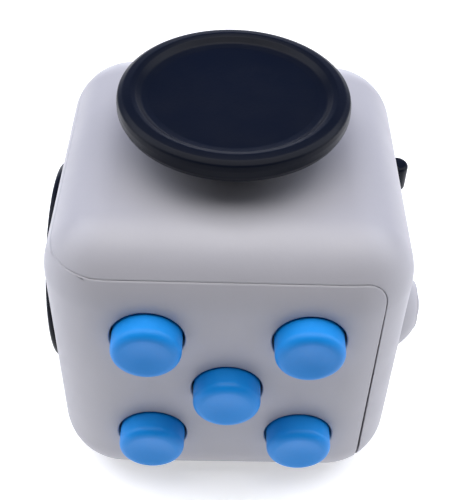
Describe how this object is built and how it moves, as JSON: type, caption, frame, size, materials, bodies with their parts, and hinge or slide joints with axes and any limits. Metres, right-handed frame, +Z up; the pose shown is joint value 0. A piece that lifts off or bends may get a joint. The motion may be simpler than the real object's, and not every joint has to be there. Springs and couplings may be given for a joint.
{
  "type": "fidget cube",
  "caption": "Palm-sized rounded cube with push buttons, a gliding thumb pad, a turning dial, a rocker, toothed rollers, a clicking ball and a thumb dish on its faces.",
  "frame": {"origin": "centre of the flat resting face (the face with the thumb dish), on the table's plane", "axes": "+Z up through the gliding thumb pad, -Y out of the button face, -X out of the dial, +X out of the rollers and ball, +Y out of the rocker"},
  "size_m": [0.0367, 0.038, 0.0386],
  "materials": {
    "case": "fine satin moulded ABS, cool off-white",
    "button": "satin moulded plastic, mid blue",
    "soft_black": "soft-touch moulded plastic, near black with a navy tint",
    "inner_plastic": "plain moulded plastic, dark grey",
    "silicone": "milky silicone",
    "dark_silicone": "dark silicone",
    "spring_steel": "bright spring steel",
    "screw": "zinc-plated steel",
    "ball": "smooth satin plastic, cool off-white"
  },
  "bodies": {
    "case": {"front_shell": "case", "rear_shell": "case", "snap_dome_top_left": "spring_steel", "snap_dome_centre": "spring_steel", "snap_dome_bottom_right": "spring_steel", "soft_dome_top_right": "silicone", "soft_dome_bottom_left": "silicone", "button_plate": "inner_plastic", "button_plate_screws": "screw", "centring_ring": "dark_silicone", "glide_retainer": "inner_plastic", "glide_retainer_screws": "screw", "dial_spring_washer": "spring_steel", "flip_pin": "spring_steel", "flip_leaf_spring": "spring_steel", "flip_frame": "inner_plastic", "flip_frame_screws": "screw", "gear_axle": "spring_steel", "gear_cage": "inner_plastic", "gear_cage_screws": "screw", "click_spring": "spring_steel", "ball_housing": "inner_plastic", "ball_housing_screws": "screw"},
    "button_top_left": {"button_top_left": "button"},
    "button_top_right": {"button_top_right": "button"},
    "button_centre": {"button_centre": "button"},
    "button_bottom_left": {"button_bottom_left": "button"},
    "button_bottom_right": {"button_bottom_right": "button"},
    "glide_frame": {"glide_carrier": "inner_plastic"},
    "thumb_pad": {"thumb_pad": "soft_black", "glide_keeper": "screw", "glide_screw": "screw"},
    "dial": {"spin_dial": "soft_black", "dial_keeper": "screw", "dial_screw": "screw"},
    "rocker": {"flip_rocker": "soft_black"},
    "gear_upper": {"gear_upper": "soft_black"},
    "gear_middle": {"gear_middle": "soft_black"},
    "gear_lower": {"gear_lower": "soft_black"},
    "ball_cup": {"ball_cup": "inner_plastic"},
    "ball": {"click_ball": "ball"}
  },
  "joints": [
    {"name": "button_top_left_press", "type": "slide", "parent": "case", "child": "button_top_left", "axis": [0, 1, 0], "range_m": [0, 0.0006], "stiffness_N_per_m": 900, "springref_m": -0.0005, "deforming": ["snap_dome_top_left"]},
    {"name": "button_centre_press", "type": "slide", "parent": "case", "child": "button_centre", "axis": [0, 1, 0], "range_m": [0, 0.0006], "stiffness_N_per_m": 900, "springref_m": -0.0005, "deforming": ["snap_dome_centre"]},
    {"name": "button_bottom_right_press", "type": "slide", "parent": "case", "child": "button_bottom_right", "axis": [0, 1, 0], "range_m": [0, 0.0006], "stiffness_N_per_m": 900, "springref_m": -0.0005, "deforming": ["snap_dome_bottom_right"]},
    {"name": "button_top_right_press", "type": "slide", "parent": "case", "child": "button_top_right", "axis": [0, 1, 0], "range_m": [0, 0.001], "stiffness_N_per_m": 500, "springref_m": -0.0005, "deforming": ["soft_dome_top_right"]},
    {"name": "button_bottom_left_press", "type": "slide", "parent": "case", "child": "button_bottom_left", "axis": [0, 1, 0], "range_m": [0, 0.001], "stiffness_N_per_m": 500, "springref_m": -0.0005, "deforming": ["soft_dome_bottom_left"]},
    {"name": "glide_sideways", "type": "slide", "parent": "case", "child": "glide_frame", "axis": [1, 0, 0], "range_m": [-0.002, 0.002], "stiffness_N_per_m": 250, "deforming": ["centring_ring"]},
    {"name": "glide_to_and_fro", "type": "slide", "parent": "glide_frame", "child": "thumb_pad", "axis": [0, 1, 0], "range_m": [-0.002, 0.002], "stiffness_N_per_m": 250},
    {"name": "dial_spin", "type": "hinge", "parent": "case", "child": "dial", "pos_m": [-0.0165, 0, 0.0165], "axis": [-1, 0, 0], "continuous": true},
    {"name": "rocker_flip", "type": "hinge", "parent": "case", "child": "rocker", "pos_m": [0, 0.0145, 0.0165], "axis": [1, 0, 0], "range_deg": [0, 18], "deforming": ["flip_leaf_spring"]},
    {"name": "gear_upper_spin", "type": "hinge", "parent": "case", "child": "gear_upper", "pos_m": [0.01405, 0.0072, 0.0231], "axis": [0, 0, 1], "continuous": true},
    {"name": "gear_middle_spin", "type": "hinge", "parent": "case", "child": "gear_middle", "pos_m": [0.01405, 0.0072, 0.0165], "axis": [0, 0, 1], "continuous": true},
    {"name": "gear_lower_spin", "type": "hinge", "parent": "case", "child": "gear_lower", "pos_m": [0.01405, 0.0072, 0.0099], "axis": [0, 0, 1], "continuous": true},
    {"name": "ball_press", "type": "slide", "parent": "case", "child": "ball_cup", "axis": [-1, 0, 0], "range_m": [0, 0.0005], "stiffness_N_per_m": 700, "springref_m": -0.0005, "deforming": ["click_spring"]},
    {"name": "ball_roll", "type": "hinge", "parent": "ball_cup", "child": "ball", "pos_m": [0.0162, -0.0054, 0.0165], "axis": [0, 0, 1], "continuous": true}
  ]
}
